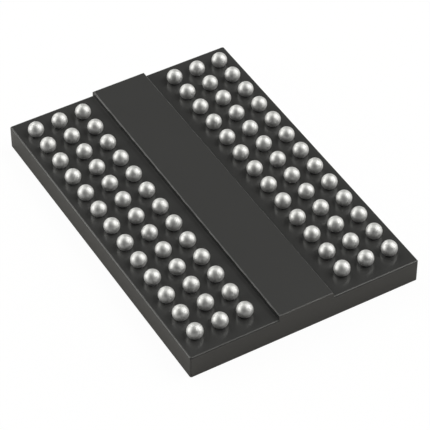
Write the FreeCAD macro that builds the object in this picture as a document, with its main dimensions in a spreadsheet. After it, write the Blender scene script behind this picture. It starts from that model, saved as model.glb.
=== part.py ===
import FreeCAD, Part
import math
import os
import Sketcher

# Ball-grid memory package, in millimetres. It lies balls up on its flat marking face, which is at z = 0 with
# the origin at its middle. +Y runs along the long side and +X across the ball columns. From the bottom up it
# is the moulded cap with the die in it, the laminate, the solder mask, and then the balls and the strip.

SIZES = {
    # Outline and layers
    "package_width": 7.5,
    "package_length": 11.0,
    "corner_round": 0.06,
    "cap_thickness": 0.55,
    "cap_edge_round": 0.02,
    "laminate_thickness": 0.19,
    "mask_thickness": 0.04,
    "mask_edge_round": 0.05,
    # Moulded strip on the ball side
    "strip_width": 1.80,
    "strip_height": 0.16,
    "strip_edge_round": 0.05,
    # Ball field, and the openings in the mask that the balls stand in
    "ball_pitch": 0.8,
    "inner_column": 1.6,
    "ball_diameter": 0.485,
    "stand_off": 0.42,
    "opening_diameter": 0.30,
    # Slot through the laminate, and the mask's window around it
    "slot_width": 0.9,
    "slot_length": 9.8,
    "slot_corner": 0.25,
    "window_width": 1.6,
    "window_margin": 0.1,
    # Copper: lands under the balls, traces, and fingers at the slot
    "copper_thickness": 0.02,
    "land_diameter": 0.40,
    "trace_width": 0.06,
    "trace_lane": 0.30,
    "finger_pitch": 0.24,
    "finger_width": 0.10,
    "finger_length": 0.28,
    "finger_setback": 0.05,
    # Die and the two tapes that hold it
    "die_width": 6.3,
    "die_length": 9.5,
    "die_thickness": 0.25,
    "tape_thickness": 0.05,
    "tape_setback": 0.1,
    # Bond wires
    "wire_thickness": 0.025,
    "wire_start": 0.09,
    "loop_start": 0.20,
    "loop_rise": 0.08,
    "stitch_length": 0.11,
    "stitch_setback": 0.065,
    # Index mark on the marking face, at the corner of the first ball
    "index_diameter": 0.6,
    "index_depth": 0.03,
    "index_margin": 0.8,
}

ROWS = "abcdefghjklmn"
COLUMNS_PER_SIDE = 3
CORNERS_OF_A_LAND = 8
MIDDLE_ROW = (len(ROWS) - 1) // 2
FINGERS_PER_SIDE = COLUMNS_PER_SIDE * len(ROWS)
MIDDLE_FINGER = (FINGERS_PER_SIDE - 1) // 2

# Heights of the faces between the layers
LAMINATE_TOP = "(Sizes.cap_thickness + Sizes.laminate_thickness)"
MASK_TOP = f"({LAMINATE_TOP} + Sizes.mask_thickness)"
STRIP_TOP = f"({MASK_TOP} + Sizes.strip_height)"
DIE_FACE = "(Sizes.cap_thickness - Sizes.tape_thickness)"

WINDOW_LENGTH = "(Sizes.slot_length + 2 * Sizes.window_margin)"
BALL_RADIUS = "(Sizes.ball_diameter / 2)"
OPENING_RADIUS = "(Sizes.opening_diameter / 2)"
FINGER_START = "(Sizes.slot_width / 2 + Sizes.finger_setback)"

UP = FreeCAD.Vector(0, 0, 1)


def make_sheet(doc):
    sheet = doc.addObject("Spreadsheet::Sheet", "Sizes")
    for line, (name, value) in enumerate(SIZES.items(), start=1):
        sheet.set(f"A{line}", name)
        sheet.set(f"B{line}", str(value))
        sheet.setAlias(f"B{line}", name)
    doc.recompute()
    return sheet


def worked_out(expression):
    """The number that an expression of the sheet's sizes gives."""
    return float(FreeCAD.ActiveDocument.Sizes.evalExpression(expression))


def bind(piece, **expressions):
    """Ties properties of a piece to the sheet. Two underscores stand for a dot in a property's name."""
    for name, expression in expressions.items():
        piece.setExpression(name.replace("__", "."), expression)


def make_body(label):
    body = FreeCAD.ActiveDocument.addObject("PartDesign::Body", label)
    body.Label = label
    return body


def origin_feature(body, role):
    return next(feature for feature in body.Origin.OriginFeatures if feature.Role == role)


def add_on_plane(body, kind, name, role="XY_Plane"):
    """A sketch or a primitive on one of the body's own origin planes."""
    feature = body.newObject(kind, name)
    feature.AttachmentSupport = [(origin_feature(body, role), "")]
    feature.MapMode = "FlatFace"
    return feature


def add_block(body, kind, name, width, length, bottom, height):
    """A box around the Z axis, added to the body or cut from it."""
    block = add_on_plane(body, kind, name)
    bind(
        block,
        Length=width,
        Width=length,
        Height=height,
        AttachmentOffset__Base__x=f"-{width} / 2",
        AttachmentOffset__Base__y=f"-{length} / 2",
        AttachmentOffset__Base__z=bottom,
    )
    return block


def round_edges(body, name, radius, is_wanted):
    """Rounds the edges of the body's last feature that a test picks."""
    body.Document.recompute()
    base = body.Tip
    edges = [f"Edge{n}" for n, edge in enumerate(base.Shape.Edges, start=1) if is_wanted(edge.BoundBox)]
    fillet = body.newObject("PartDesign::Fillet", name)
    fillet.Base = (base, edges)
    bind(fillet, Radius=radius)
    return fillet


def is_upright(box):
    return box.ZLength > box.XLength + box.YLength


def is_at_height(box, height):
    return math.isclose(box.ZMin, height, abs_tol=1e-6) and math.isclose(box.ZMax, height, abs_tol=1e-6)


def line_of_copies(body, name, axis, spacing, count):
    line = body.Document.addObject("PartDesign::LinearPattern", name)
    body.addObject(line)
    line.Direction = (origin_feature(body, axis), [""])
    line.Mode = "Spacing"
    line.Occurrences = count
    bind(line, Offset=spacing)
    return line


def mirror_across(body, name, plane):
    mirror = body.Document.addObject("PartDesign::Mirrored", name)
    body.addObject(mirror)
    mirror.MirrorPlane = (origin_feature(body, plane), [""])
    return mirror


def repeat(body, originals, steps):
    """Repeats features by each step in turn, and makes the result the body's shape."""
    pattern = body.newObject("PartDesign::MultiTransform", "Pattern")
    pattern.Originals = originals
    pattern.Transformations = steps
    body.Tip = pattern
    return pattern


def draw_outline(sketch, corners):
    """A closed outline whose corners are each two expressions, across and up the sketch."""
    points = [FreeCAD.Vector(worked_out(across), worked_out(up), 0) for across, up in corners]
    for start, end in zip(points, points[1:] + points[:1]):
        sketch.addGeometry(Part.LineSegment(start, end))
    for line, (across, up) in enumerate(corners):
        next_line = (line + 1) % len(corners)
        sketch.addConstraint(Sketcher.Constraint("Coincident", line, 2, next_line, 1))
        point = points[line]
        place_across = sketch.addConstraint(Sketcher.Constraint("DistanceX", -1, 1, line, 1, point.x))
        place_up = sketch.addConstraint(Sketcher.Constraint("DistanceY", -1, 1, line, 1, point.y))
        sketch.setExpression(f"Constraints[{place_across}]", across)
        sketch.setExpression(f"Constraints[{place_up}]", up)


def mirrored(source, label):
    """The same piece on the other side of the slot."""
    mirror = FreeCAD.ActiveDocument.addObject("Part::Mirroring", label)
    mirror.Label = label
    mirror.Source = source
    mirror.Normal = FreeCAD.Vector(1, 0, 0)
    return mirror


def cut_by(base, tools, label):
    """The base without the room that the tools take."""
    doc = FreeCAD.ActiveDocument
    room = doc.addObject("Part::Compound", f"{label}_room")
    room.Links = tools
    cut = doc.addObject("Part::Cut", label)
    cut.Label = label
    cut.Base = base
    cut.Tool = room
    return cut


def add_layer(body, name, bottom, height):
    """A layer of the package's whole outline, with its four upright corners rounded."""
    add_block(
        body, "PartDesign::AdditiveBox", name, "Sizes.package_width", "Sizes.package_length", bottom, height
    )
    round_edges(body, f"{name}Corners", "Sizes.corner_round", is_upright)


def make_solder_mask():
    """The coat on the laminate. Its rounded top edges stop where the strip covers them.

    The rounding is larger than the coat is thick, so it is made on a taller block, which is then cut down.
    """
    body = make_body("solder_mask")
    width = "Sizes.package_width"
    length = "Sizes.package_length"
    block_height = "(2 * Sizes.mask_edge_round)"
    block_bottom = f"({MASK_TOP} - {block_height})"
    add_layer(body, "Coat", block_bottom, block_height)
    top = worked_out(MASK_TOP)
    round_edges(body, "TopEdges", "Sizes.mask_edge_round", lambda box: is_at_height(box, top))
    add_block(
        body, "PartDesign::AdditiveBox", "UnderStrip", "Sizes.strip_width", length,
        LAMINATE_TOP, "Sizes.mask_thickness",
    )
    add_block(
        body, "PartDesign::SubtractiveBox", "Underside", width, length,
        block_bottom, f"{block_height} - Sizes.mask_thickness",
    )
    add_block(
        body, "PartDesign::SubtractiveBox", "Window", "Sizes.window_width", WINDOW_LENGTH,
        LAMINATE_TOP, "Sizes.mask_thickness",
    )
    opening = add_on_plane(body, "PartDesign::SubtractivePrism", "Opening")
    opening.Polygon = CORNERS_OF_A_LAND
    bind(
        opening,
        Circumradius=OPENING_RADIUS,
        Height="Sizes.mask_thickness",
        AttachmentOffset__Base__x="Sizes.inner_column",
        AttachmentOffset__Base__y=f"-{MIDDLE_ROW} * Sizes.ball_pitch",
        AttachmentOffset__Base__z=LAMINATE_TOP,
    )
    steps = [
        line_of_copies(body, "Columns", "X_Axis", "Sizes.ball_pitch", COLUMNS_PER_SIDE),
        line_of_copies(body, "Rows", "Y_Axis", "Sizes.ball_pitch", len(ROWS)),
        mirror_across(body, "OtherSide", "YZ_Plane"),
    ]
    repeat(body, [opening], steps)
    return body


def make_ball_row(letter, steps_from_middle):
    """One row of solder balls. Each stands on its land with a foot that fills the mask's opening."""
    body = make_body(f"ball_row_{letter}")
    foot = add_on_plane(body, "PartDesign::AdditivePrism", "Foot")
    foot.Polygon = CORNERS_OF_A_LAND
    bind(
        foot,
        Circumradius=OPENING_RADIUS,
        Height="Sizes.mask_thickness",
        AttachmentOffset__Base__x="Sizes.inner_column",
        AttachmentOffset__Base__z=LAMINATE_TOP,
    )
    ball = add_on_plane(body, "PartDesign::AdditiveSphere", "Ball")
    bind(
        ball,
        Radius=BALL_RADIUS,
        Angle1=f"-asin((Sizes.stand_off - {BALL_RADIUS}) / {BALL_RADIUS})",
        AttachmentOffset__Base__x="Sizes.inner_column",
        AttachmentOffset__Base__z=f"{MASK_TOP} + Sizes.stand_off - {BALL_RADIUS}",
    )
    steps = [
        line_of_copies(body, "Columns", "X_Axis", "Sizes.ball_pitch", COLUMNS_PER_SIDE),
        mirror_across(body, "OtherSide", "YZ_Plane"),
    ]
    repeat(body, [foot, ball], steps)
    bind(body, Placement__Base__y=f"{steps_from_middle} * Sizes.ball_pitch")
    return body


def make_laminate_board():
    """The laminate with its routed slot, before the copper is let into it."""
    body = make_body("laminate_board")
    add_layer(body, "Board", "Sizes.cap_thickness", "Sizes.laminate_thickness")
    add_block(
        body, "PartDesign::SubtractiveBox", "Slot", "Sizes.slot_width", "Sizes.slot_length",
        "Sizes.cap_thickness", "Sizes.laminate_thickness",
    )
    reach = worked_out("Sizes.slot_width")
    round_edges(
        body, "SlotCorners", "Sizes.slot_corner", lambda box: is_upright(box) and abs(box.Center.x) < reach
    )
    return body


def track_face(path, width):
    """A flat track of one width along a path, with mitred corners."""
    runs = [(end - start).normalize() for start, end in zip(path, path[1:])]
    sides = []
    for arriving, leaving in zip(runs[:1] + runs, runs + runs[-1:]):
        across = UP.cross(arriving + leaving).normalize()
        sides.append(across * (width / 2 / across.dot(UP.cross(arriving))))
    right_side = [point - side for point, side in zip(path, sides)]
    left_side = [point + side for point, side in zip(path, sides)]
    outline = right_side + left_side[::-1]
    return Part.Face(Part.makePolygon(outline + outline[:1]))


def land_face(middle, radius):
    turn = 2 * math.pi / CORNERS_OF_A_LAND
    corners = [
        middle + FreeCAD.Vector(radius * math.cos(n * turn), radius * math.sin(n * turn), 0)
        for n in range(CORNERS_OF_A_LAND)
    ]
    return Part.Face(Part.makePolygon(corners + corners[:1]))


def conductor(sheet, row, column):
    """One land with its trace and its finger, as one flat face.

    The inner land's trace runs straight in. The middle land's trace passes the inner land on one side, and
    the outer land's trace passes both on the other side.
    """
    side = {0: 0, 1: -1, 2: 1}[column]
    land = FreeCAD.Vector(sheet.inner_column + column * sheet.ball_pitch, row * sheet.ball_pitch, 0)
    finger_y = (COLUMNS_PER_SIDE * row + side) * sheet.finger_pitch
    finger_start = FreeCAD.Vector(worked_out(FINGER_START), finger_y, 0)
    finger_end = finger_start + FreeCAD.Vector(sheet.finger_length, 0, 0)
    lane_y = land.y + side * sheet.trace_lane
    lane_start = FreeCAD.Vector(sheet.inner_column - sheet.land_diameter, lane_y, 0)
    lane_end = FreeCAD.Vector(land.x - sheet.trace_lane, lane_y, 0)
    path = [finger_end, lane_start, lane_end, land] if side else [finger_end, lane_start, land]
    faces = [
        track_face([finger_start, finger_end], sheet.finger_width),
        track_face(path, sheet.trace_width),
    ]
    return land_face(land, sheet.land_diameter / 2).fuse(faces).removeSplitter()


def make_conductors(sheet):
    """The copper on one side of the slot, flush with the laminate's face."""
    thickness = FreeCAD.Vector(0, 0, sheet.copper_thickness)
    solids = [
        conductor(sheet, row - MIDDLE_ROW, column).extrude(thickness).Solids[0]
        for row in range(len(ROWS))
        for column in range(COLUMNS_PER_SIDE)
    ]
    copper = FreeCAD.ActiveDocument.addObject("Part::Feature", "conductors_right")
    copper.Shape = Part.makeCompound(solids)
    bottom = worked_out(f"{LAMINATE_TOP} - Sizes.copper_thickness")
    copper.Placement = FreeCAD.Placement(FreeCAD.Vector(0, 0, bottom), FreeCAD.Rotation())
    return copper


def make_die():
    """The silicon chip, under the slot, with its bonding side up."""
    die = FreeCAD.ActiveDocument.addObject("Part::Box", "die")
    bind(
        die,
        Length="Sizes.die_width",
        Width="Sizes.die_length",
        Height="Sizes.die_thickness",
        Placement__Base__x="-Sizes.die_width / 2",
        Placement__Base__y="-Sizes.die_length / 2",
        Placement__Base__z=f"{DIE_FACE} - Sizes.die_thickness",
    )
    return die


def make_die_attach():
    """The adhesive tape between the die and the laminate, on one side of the slot."""
    tape = FreeCAD.ActiveDocument.addObject("Part::Box", "die_attach_right")
    start = "(Sizes.slot_width / 2 + Sizes.tape_setback)"
    bind(
        tape,
        Length=f"Sizes.die_width / 2 - Sizes.tape_setback - {start}",
        Width="Sizes.die_length - 2 * Sizes.tape_setback",
        Height="Sizes.tape_thickness",
        Placement__Base__x=start,
        Placement__Base__y="Sizes.tape_setback - Sizes.die_length / 2",
        Placement__Base__z=DIE_FACE,
    )
    return tape


def make_bond_wires():
    """The wires of one side. Each rises from the die's middle, bends over and comes down on its finger."""
    body = make_body("bond_wires_right")
    sketch = add_on_plane(body, "Sketcher::SketchObject", "WireSide", "XZ_Plane")
    half = "Sizes.wire_thickness / 2"
    loop_top = f"{LAMINATE_TOP} + Sizes.loop_rise"
    stitch_start = f"{FINGER_START} + Sizes.stitch_setback"
    corners = [
        (f"Sizes.wire_start + {half}", DIE_FACE),
        (f"Sizes.loop_start + {half}", f"{loop_top} - Sizes.wire_thickness"),
        (stitch_start, LAMINATE_TOP),
        (f"{stitch_start} + Sizes.stitch_length", LAMINATE_TOP),
        (f"Sizes.loop_start - {half}", loop_top),
        (f"Sizes.wire_start - {half}", DIE_FACE),
    ]
    draw_outline(sketch, corners)
    wire = body.newObject("PartDesign::Pad", "Wire")
    wire.Profile = sketch
    wire.SideType = "Symmetric"
    bind(wire, Length="Sizes.wire_thickness")
    repeat(body, [wire], [line_of_copies(body, "Fingers", "Y_Axis", "Sizes.finger_pitch", FINGERS_PER_SIDE)])
    bind(body, Placement__Base__y=f"-{MIDDLE_FINGER} * Sizes.finger_pitch")
    return body


def make_mould_cavity():
    """All the room that the compound fills in the tool: the cap, the well at the slot, and the strip."""
    body = make_body("mould_cavity")
    add_layer(body, "Cap", "0 mm", "Sizes.cap_thickness")
    round_edges(body, "CapEdges", "Sizes.cap_edge_round", lambda box: is_at_height(box, 0))
    add_block(
        body, "PartDesign::AdditiveBox", "Well", "Sizes.window_width", WINDOW_LENGTH,
        "Sizes.cap_thickness", "Sizes.laminate_thickness + Sizes.mask_thickness",
    )
    add_block(
        body, "PartDesign::AdditiveBox", "Strip", "Sizes.strip_width", "Sizes.package_length",
        MASK_TOP, "Sizes.strip_height",
    )
    top = worked_out(STRIP_TOP)
    round_edges(body, "StripEdges", "Sizes.strip_edge_round", lambda box: is_at_height(box, top))
    mark = add_on_plane(body, "PartDesign::SubtractiveCylinder", "IndexMark")
    bind(
        mark,
        Radius="Sizes.index_diameter / 2",
        Height="Sizes.index_depth",
        AttachmentOffset__Base__x="Sizes.package_width / 2 - Sizes.index_margin",
        AttachmentOffset__Base__y="Sizes.package_length / 2 - Sizes.index_margin",
    )
    return body


def check(doc, pieces):
    failed = [item.Label for item in doc.Objects if {"Invalid", "Error"} & set(item.State)]
    empty = [piece.Label for piece in pieces if piece.Shape.isNull() or not piece.Shape.isValid()]
    if failed or empty:
        raise RuntimeError(f"failed: {failed}, no valid shape: {empty}")


def main():
    doc = FreeCAD.newDocument("BallGridPackage")
    sheet = make_sheet(doc)

    conductors = make_conductors(sheet)
    conductors_left = mirrored(conductors, "conductors_left")
    board = make_laminate_board()
    laminate = cut_by(board, [conductors, conductors_left], "laminate")
    solder_mask = make_solder_mask()
    balls = [make_ball_row(letter, MIDDLE_ROW - n) for n, letter in enumerate(ROWS)]

    die = make_die()
    die_attach = make_die_attach()
    die_attach_left = mirrored(die_attach, "die_attach_left")
    bond_wires = make_bond_wires()
    bond_wires_left = mirrored(bond_wires, "bond_wires_left")

    sealed_in = [die, die_attach, die_attach_left, bond_wires, bond_wires_left]
    mould_body = cut_by(make_mould_cavity(), [board] + sealed_in, "mould_body")

    doc.recompute()
    pieces = [mould_body, laminate, solder_mask, conductors, conductors_left] + sealed_in + balls
    check(doc, pieces)

    os.makedirs("parts", exist_ok=True)
    for piece in pieces:
        piece.Shape.exportStep(f"parts/{piece.Label}.step")


main()
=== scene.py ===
import math
import bmesh
import bpy
from mathutils import Matrix, Vector


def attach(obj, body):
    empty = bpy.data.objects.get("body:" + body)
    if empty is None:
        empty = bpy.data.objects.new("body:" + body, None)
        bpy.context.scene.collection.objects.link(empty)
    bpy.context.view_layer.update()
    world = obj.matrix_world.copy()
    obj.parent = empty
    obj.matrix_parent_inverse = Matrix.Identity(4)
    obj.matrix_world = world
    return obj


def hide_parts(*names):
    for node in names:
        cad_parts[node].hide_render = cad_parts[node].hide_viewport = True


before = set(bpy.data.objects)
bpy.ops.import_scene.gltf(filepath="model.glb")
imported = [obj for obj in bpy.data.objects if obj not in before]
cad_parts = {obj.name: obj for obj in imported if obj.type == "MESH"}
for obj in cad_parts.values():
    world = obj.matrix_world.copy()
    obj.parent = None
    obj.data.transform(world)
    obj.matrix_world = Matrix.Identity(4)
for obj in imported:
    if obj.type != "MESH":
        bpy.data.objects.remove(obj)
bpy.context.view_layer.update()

MM = 0.001

# The camera stands at the photograph's own place. The angles are in degrees.
CAMERA_PLACE = (-24.348 * MM, -42.212 * MM, 47.064 * MM)
CAMERA_AZIMUTH = -30.2209
CAMERA_ELEVATION = 44.1135
CAMERA_ROLL = -0.0612
CAMERA_LENS = 191.548
SENSOR = 36.0
NEAREST_SEEN = 1 * MM
FARTHEST_SEEN = 10.0

# The package's form, the same as in the solids.
HALF_WIDTH = 3.75 * MM
HALF_LENGTH = 5.5 * MM
STRIP_HALF = 0.9 * MM
LAND_TOP = 0.74 * MM
MASK_TOP = 0.78 * MM
ROWS = "abcdefghjklmn"
ROW_PITCH = 0.8 * MM
COLUMNS = (-3.2 * MM, -2.4 * MM, -1.6 * MM, 1.6 * MM, 2.4 * MM, 3.2 * MM)
BALL_RADIUS = 0.2425 * MM
BALL_CENTRE = 0.9575 * MM
OPENING_RADIUS = 0.15 * MM

# How finely a ball is drawn, and the angle from which an edge on it is sharp.
BALL_RINGS = 30
BALL_SEGMENTS = 56
SHARP_ANGLE = math.radians(35)

# How far inside a side's plane the side's own finish begins, and how far inside it is full.
COMPOUND_CUT = (0.03 * MM, 0.005 * MM)
MASK_CUT = (0.004 * MM, 0.001 * MM)
# The strip's wall distances say where the painted shade on the strip's side walls begins and where it is
# full.
STRIP_WALL_SHADE_CUT = (0.02 * MM, 0.002 * MM)

# The tones, each from the darkest to the lightest.
SAWN_TONES = (0.080, 0.092)
SAWN_WARMTH = 0.04
MOULDED_TONES = (0.059, 0.063)
# The strip's wall tone is painted shade: the strip's side walls are coloured darker than the moulded
# compound.
STRIP_WALL_PAINTED_SHADE = 0.022
COAT_TONES = (0.0525, 0.0565)
SOLDER_TONES = (0.76, 0.82)

# The roughness of the finishes, and how far the grain moves that of the compound and the mask.
SMOOTH_FINISH = 0.2
SAWN_FINISH = 0.32
GRAIN_FINISH = 0.03
SOLDER_FINISH = (0.54, 0.57)

# The part of a noise's range that most of it lies in, and the strength of every bump.
NOISE_SPAN = (0.3, 0.7)
BUMP_STRENGTH = 0.4

# A plain material varies by this share in tone and roughness. Its bumps are this share of its grain deep.
PLAIN_SHARE = 0.15
PLAIN_DEPTH = 0.05

# The floor lies just under the marking face. Reflections show its white from WHITE_BEGINS to WHITE_FULL on.
FLOOR_HALF = 3.0
FLOOR_DROP = 0.002 * MM
WHITE_BEGINS = 20 * MM
WHITE_FULL = 40 * MM
FLOOR_TONE = 0.55
SHADOW_TONE = 0.05
FLOOR_GLOW = 0.96

SKY_STRENGTH = 0.02
LAMP_COLOUR = (1.0, 1.0, 0.955)
LAMP_DISTANCE = 0.25

# Each lamp's azimuth and elevation in degrees, its width and height, and the radiance of its face.
LAMPS = {
    "lamp_right_high": (330, 52, 0.18, 0.12, 3.8),
    "lamp_right_low": (335, 16, 0.22, 0.10, 2.4),
    "lamp_left_low": (150, 14, 0.16, 0.10, 4.5),
    "lamp_left_high": (135, 40, 0.16, 0.14, 1.2),
    "lamp_back_low": (70, 9, 0.30, 0.06, 1.0),
    "lamp_back_top": (60, 68, 0.18, 0.10, 1.0),
    "lamp_back_left": (100, 35, 0.10, 0.16, 2.45),
    "lamp_back_right": (15, 40, 0.10, 0.20, 1.4),
}

# The mix node's colour sockets go by number, because its other kinds have sockets of the same names.
MIX_A, MIX_B, MIX_RESULT = 6, 7, 2


class Shader:
    """A material or world under construction: nodes by kind, joined by name."""

    def __init__(self, owner):
        owner.use_nodes = True
        self.tree = owner.node_tree
        self.tree.nodes.clear()

    def add(self, kind, **values):
        node = self.tree.nodes.new(kind)
        for name, value in values.items():
            setattr(node, name, value)
        return node

    def put(self, socket, value):
        """Sets an input, or joins an output to it."""
        if isinstance(value, bpy.types.NodeSocket):
            self.tree.links.new(value, socket)
        else:
            socket.default_value = value

    def math(self, operation, a, b=0.0):
        node = self.add("ShaderNodeMath", operation=operation)
        self.put(node.inputs[0], a)
        self.put(node.inputs[1], b)
        return node.outputs[0]

    def place(self):
        """The point on the object, in metres."""
        return self.add("ShaderNodeTexCoord").outputs["Object"]

    def axes(self):
        """The point's X, Y and Z."""
        node = self.add("ShaderNodeSeparateXYZ")
        self.put(node.inputs[0], self.place())
        return node.outputs["X"], node.outputs["Y"], node.outputs["Z"]

    def noise(self, size, detail, stretch=(1.0, 1.0, 1.0)):
        """A noise from 0 to 1 whose grains are about size across, before the stretch."""
        scaled = self.add("ShaderNodeMapping")
        self.put(scaled.inputs["Vector"], self.place())
        scaled.inputs["Scale"].default_value = [s / size for s in stretch]
        node = self.add("ShaderNodeTexNoise")
        self.put(node.inputs["Vector"], scaled.outputs["Vector"])
        node.inputs["Scale"].default_value = 1.0
        node.inputs["Detail"].default_value = detail
        node.inputs["Roughness"].default_value = 0.5
        return node.outputs["Fac"]

    def between(self, fac, low, high, start=0.0, end=1.0):
        """low where fac is at start, high where it is at end."""
        node = self.add("ShaderNodeMapRange")
        self.put(node.inputs["Value"], fac)
        node.inputs["From Min"].default_value = start
        node.inputs["From Max"].default_value = end
        node.inputs["To Min"].default_value = low
        node.inputs["To Max"].default_value = high
        return node.outputs["Result"]

    def mix(self, fac, a, b):
        """Colour a where fac is 0, b where it is 1."""
        node = self.add("ShaderNodeMix", data_type="RGBA")
        self.put(node.inputs["Factor"], fac)
        self.put(node.inputs[MIX_A], a)
        self.put(node.inputs[MIX_B], b)
        return node.outputs[MIX_RESULT]

    def bump(self, height, depth):
        node = self.add("ShaderNodeBump")
        node.inputs["Strength"].default_value = BUMP_STRENGTH
        node.inputs["Distance"].default_value = depth
        self.put(node.inputs["Height"], height)
        return node.outputs["Normal"]

    def diffuse(self, colour):
        node = self.add("ShaderNodeBsdfDiffuse")
        node.inputs["Color"].default_value = colour
        return node.outputs[0]

    def surface(self, **values):
        """The one shader of the material. An underscore in a name stands for a space."""
        node = self.add("ShaderNodeBsdfPrincipled")
        for name, value in values.items():
            self.put(node.inputs[name.replace("_", " ")], value)
        self.finish("ShaderNodeOutputMaterial", node.outputs[0])

    def finish(self, kind, shader):
        out = self.add(kind)
        self.put(out.inputs["Surface"], shader)


def grey(level, warmth=0.0):
    """A grey of that level, a little warm."""
    return (level * (1 + warmth), level, level * (1 - warmth), 1.0)


def greys(s, fac, levels, warmth=0.0):
    low, high = levels
    return s.mix(fac, grey(low, warmth), grey(high, warmth))


def near_plane(s, distance, plane, cut):
    """0 well inside the plane and 1 at it."""
    begins, full = cut
    return s.between(distance, 0.0, 1.0, plane - begins, plane - full)


def sawn_side(s, cut):
    """1 on the four sides where the package was sawn from its panel, 0 on the moulded faces."""
    x, y, _ = s.axes()
    across = near_plane(s, s.math("ABSOLUTE", x), HALF_WIDTH, cut)
    along = near_plane(s, s.math("ABSOLUTE", y), HALF_LENGTH, cut)
    return s.math("MAXIMUM", across, along)


def sawn_tone(s):
    """The scored tone of the cut, the same through compound, laminate and mask."""
    score = s.noise(0.012 * MM, detail=3, stretch=(0.03, 0.03, 1.0))
    return greys(s, score, SAWN_TONES, SAWN_WARMTH)


def painted_shade_walls(s):
    """1 on the strip's own low side walls, where shade is painted into the colour, 0 elsewhere."""
    x, _, z = s.axes()
    outside = near_plane(s, s.math("ABSOLUTE", x), STRIP_HALF, STRIP_WALL_SHADE_CUT)
    return s.math("MULTIPLY", outside, s.math("GREATER_THAN", z, LAND_TOP))


def body_roughness(s, sawn, grain):
    """Smooth where moulded or coated, duller where sawn, and a little uneven everywhere."""
    even = s.between(sawn, SMOOTH_FINISH, SAWN_FINISH)
    return s.math("ADD", even, s.between(grain, -GRAIN_FINISH, GRAIN_FINISH, *NOISE_SPAN))


def moulding_compound(name):
    """Black filled epoxy: satin where it was moulded, duller and finely scored where it was sawn.

    The strip's side walls are coloured darker: a painted shade.
    """
    m = bpy.data.materials.new(name)
    s = Shader(m)
    sawn = sawn_side(s, COMPOUND_CUT)
    grain = s.noise(0.02 * MM, detail=4)
    moulded_tone = greys(s, s.noise(1.5 * MM, detail=2), MOULDED_TONES)
    # Painted shade: the strip's side walls take the darker tone.
    moulded_tone = s.mix(painted_shade_walls(s), moulded_tone, grey(STRIP_WALL_PAINTED_SHADE))
    s.surface(
        Base_Color=s.mix(sawn, moulded_tone, sawn_tone(s)),
        Roughness=body_roughness(s, sawn, grain),
        Specular_IOR_Level=0.45,
        Normal=s.bump(grain, 0.0004 * MM),
    )
    return m


def solder_mask():
    """The glossy coat, cut through at the package's sides."""
    m = bpy.data.materials.new("solder_mask")
    s = Shader(m)
    sawn = sawn_side(s, MASK_CUT)
    grain = s.noise(0.03 * MM, detail=3)
    coat_tone = greys(s, s.noise(0.6 * MM, detail=2), COAT_TONES)
    s.surface(
        Base_Color=s.mix(sawn, coat_tone, sawn_tone(s)),
        Roughness=body_roughness(s, sawn, grain),
        Specular_IOR_Level=0.5,
        Normal=s.bump(grain, 0.0002 * MM),
    )
    return m


def solder():
    """The balls' satin metal, whose grain shows in tone, sheen and relief."""
    m = bpy.data.materials.new("solder")
    s = Shader(m)
    grain = s.noise(0.025 * MM, detail=4)
    s.surface(
        Base_Color=greys(s, grain, SOLDER_TONES),
        Metallic=1.0,
        Roughness=s.between(grain, *SOLDER_FINISH, *NOISE_SPAN),
        Normal=s.bump(grain, 0.0006 * MM),
    )
    return m


def plain(name, tone, metallic, rough, size):
    """A material for a piece inside the body. size is its grain's."""
    m = bpy.data.materials.new(name)
    s = Shader(m)
    grain = s.noise(size, detail=3)
    less, more = 1 - PLAIN_SHARE, 1 + PLAIN_SHARE
    darker = [c * less for c in tone] + [1.0]
    s.surface(
        Base_Color=s.mix(grain, darker, [*tone, 1.0]),
        Metallic=metallic,
        Roughness=s.between(grain, rough * less, rough * more, *NOISE_SPAN),
        Normal=s.bump(grain, size * PLAIN_DEPTH),
    )
    return m


MATERIALS = {
    "moulding_compound": moulding_compound("moulding_compound"),
    "laminate": moulding_compound("laminate"),
    "solder_mask": solder_mask(),
    "copper": plain("copper", (0.72, 0.35, 0.2), 1.0, 0.35, 0.05 * MM),
    "silicon": plain("silicon", (0.12, 0.13, 0.15), 0.6, 0.25, 0.4 * MM),
    "adhesive_tape": plain("adhesive_tape", (0.55, 0.34, 0.1), 0.0, 0.45, 0.2 * MM),
    "gold_wire": plain("gold_wire", (0.9, 0.62, 0.25), 1.0, 0.25, 0.02 * MM),
    "solder": solder(),
}

SLOT_OF = {
    "mould_body": "moulding_compound",
    "laminate": "laminate",
    "solder_mask": "solder_mask",
    "conductors_left": "copper",
    "conductors_right": "copper",
    "die": "silicon",
    "die_attach_left": "adhesive_tape",
    "die_attach_right": "adhesive_tape",
    "bond_wires_left": "gold_wire",
    "bond_wires_right": "gold_wire",
}


def dress(obj, material):
    if not obj.data.materials:
        obj.data.materials.append(material)
    for slot in obj.material_slots:
        slot.material = material


def add_object(name, data):
    obj = bpy.data.objects.new(name, data)
    bpy.context.collection.objects.link(obj)
    return obj


def ball_profile():
    """The half outline of one ball, from the foot's middle to the top, as (radius, height)."""
    low = math.acos((BALL_CENTRE - MASK_TOP) / BALL_RADIUS)
    points = [(0.0, LAND_TOP), (OPENING_RADIUS, LAND_TOP), (OPENING_RADIUS, MASK_TOP)]
    for k in range(BALL_RINGS + 1):
        angle = low + (math.pi - low) * k / BALL_RINGS
        points.append((BALL_RADIUS * math.sin(angle), BALL_CENTRE - BALL_RADIUS * math.cos(angle)))
    points[-1] = (0.0, points[-1][1])
    return points


def add_ring(bm, x, y, radius, height):
    """One ring of vertices round (x, y), or a single vertex where the radius is 0."""
    if radius == 0.0:
        return [bm.verts.new((x, y, height))]
    ring = []
    for k in range(BALL_SEGMENTS):
        turn = 2 * math.pi * k / BALL_SEGMENTS
        place = (x + radius * math.cos(turn), y + radius * math.sin(turn), height)
        ring.append(bm.verts.new(place))
    return ring


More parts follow.
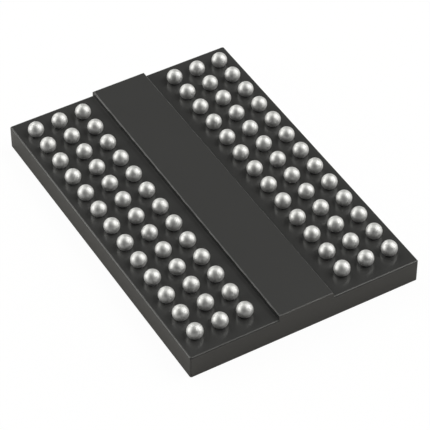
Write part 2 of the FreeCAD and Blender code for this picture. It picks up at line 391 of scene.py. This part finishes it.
def join_rings(bm, below, above):
    for k in range(BALL_SEGMENTS):
        after = (k + 1) % BALL_SEGMENTS
        if len(below) == 1:
            bm.faces.new((below[0], above[after], above[k]))
        elif len(above) == 1:
            bm.faces.new((below[k], below[after], above[0]))
        else:
            bm.faces.new((below[k], below[after], above[after], above[k]))


def ball_row(name, y):
    """One row of six balls as a smooth mesh."""
    bm = bmesh.new()
    profile = ball_profile()
    for x in COLUMNS:
        rings = [add_ring(bm, x, y, radius, height) for radius, height in profile]
        for below, above in zip(rings, rings[1:]):
            join_rings(bm, below, above)
    for face in bm.faces:
        face.smooth = True
    for edge in bm.edges:
        if edge.is_manifold and edge.calc_face_angle() > SHARP_ANGLE:
            edge.smooth = False
    mesh = bpy.data.meshes.new(name)
    bm.to_mesh(mesh)
    bm.free()
    obj = add_object(name, mesh)
    obj.data.materials.append(MATERIALS["solder"])
    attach(obj, "root")
    return obj


def make_camera():
    a, e, r = (math.radians(v) for v in (CAMERA_AZIMUTH, CAMERA_ELEVATION, CAMERA_ROLL))
    back = Vector((math.sin(a) * math.cos(e), -math.cos(a) * math.cos(e), math.sin(e)))
    right = Vector((math.cos(a), math.sin(a), 0.0))
    up = back.cross(right)
    right, up = (
        right * math.cos(r) + up * math.sin(r),
        up * math.cos(r) - right * math.sin(r),
    )
    data = bpy.data.cameras.new("camera")
    data.sensor_width = SENSOR
    data.lens = CAMERA_LENS
    data.clip_start = NEAREST_SEEN
    data.clip_end = FARTHEST_SEEN
    cam = add_object("camera", data)
    turn = Matrix((right, up, back)).transposed()
    cam.matrix_world = Matrix.Translation(CAMERA_PLACE) @ turn.to_4x4()
    bpy.context.scene.camera = cam


def floor_material():
    """White to the camera, and white to reflections from a little way off.

    Nearer than that, reflections show the floor as it is lit, with the object's own shadow on it. The white
    has a faint shadow too.
    """
    m = bpy.data.materials.new("floor")
    s = Shader(m)
    path = s.add("ShaderNodeLightPath")
    distance = s.add("ShaderNodeVectorMath", operation="LENGTH")
    s.put(distance.inputs[0], s.place())
    far = s.between(distance.outputs["Value"], 0.0, 1.0, WHITE_BEGINS, WHITE_FULL)
    seen = s.math("MULTIPLY", path.outputs["Is Glossy Ray"], far)
    seen = s.math("MAXIMUM", seen, path.outputs["Is Camera Ray"])
    seen = s.math("MAXIMUM", seen, path.outputs["Is Transmission Ray"])
    glow = s.add("ShaderNodeEmission")
    glow.inputs["Strength"].default_value = FLOOR_GLOW
    white = s.add("ShaderNodeAddShader")
    s.put(white.inputs[0], s.diffuse(grey(SHADOW_TONE)))
    s.put(white.inputs[1], glow.outputs[0])
    pick = s.add("ShaderNodeMixShader")
    s.put(pick.inputs["Fac"], seen)
    s.put(pick.inputs[1], s.diffuse(grey(FLOOR_TONE)))
    s.put(pick.inputs[2], white.outputs[0])
    s.finish("ShaderNodeOutputMaterial", pick.outputs[0])
    return m


def make_floor():
    mesh = bpy.data.meshes.new("floor")
    signs = [(-1, -1), (1, -1), (1, 1), (-1, 1)]
    corners = [(x * FLOOR_HALF, y * FLOOR_HALF, -FLOOR_DROP) for x, y in signs]
    mesh.from_pydata(corners, [], [(0, 1, 2, 3)])
    mesh.materials.append(floor_material())
    floor = add_object("floor", mesh)


def softbox(name, azimuth, elevation, width, height, radiance):
    """A soft lamp in that direction, facing the object. Its power gives its face that radiance."""
    a, e = math.radians(azimuth), math.radians(elevation)
    away = Vector((math.cos(a) * math.cos(e), math.sin(a) * math.cos(e), math.sin(e)))
    data = bpy.data.lights.new(name, "AREA")
    data.shape = "RECTANGLE"
    data.size = width
    data.size_y = height
    data.energy = radiance * math.pi * width * height
    data.color = LAMP_COLOUR
    lamp = add_object(name, data)
    lamp.location = away * LAMP_DISTANCE
    lamp.rotation_mode = "QUATERNION"
    lamp.rotation_quaternion = (-away).to_track_quat("-Z", "Y")
    lamp.visible_camera = False


def make_light():
    world = bpy.data.worlds.new("studio")
    bpy.context.scene.world = world
    s = Shader(world)
    sky = s.add("ShaderNodeBackground")
    sky.inputs["Color"].default_value = grey(1.0)
    sky.inputs["Strength"].default_value = SKY_STRENGTH
    s.finish("ShaderNodeOutputWorld", sky.outputs[0])
    for name, values in LAMPS.items():
        softbox(name, *values)


for node, slot in SLOT_OF.items():
    dress(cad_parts[node], MATERIALS[slot])

for index, letter in enumerate(ROWS):
    row = ball_row("solder_balls_" + letter, (len(ROWS) // 2 - index) * ROW_PITCH)
    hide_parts("ball_row_" + letter)

make_camera()
make_floor()
make_light()
bpy.context.scene.view_settings.view_transform = "Standard"
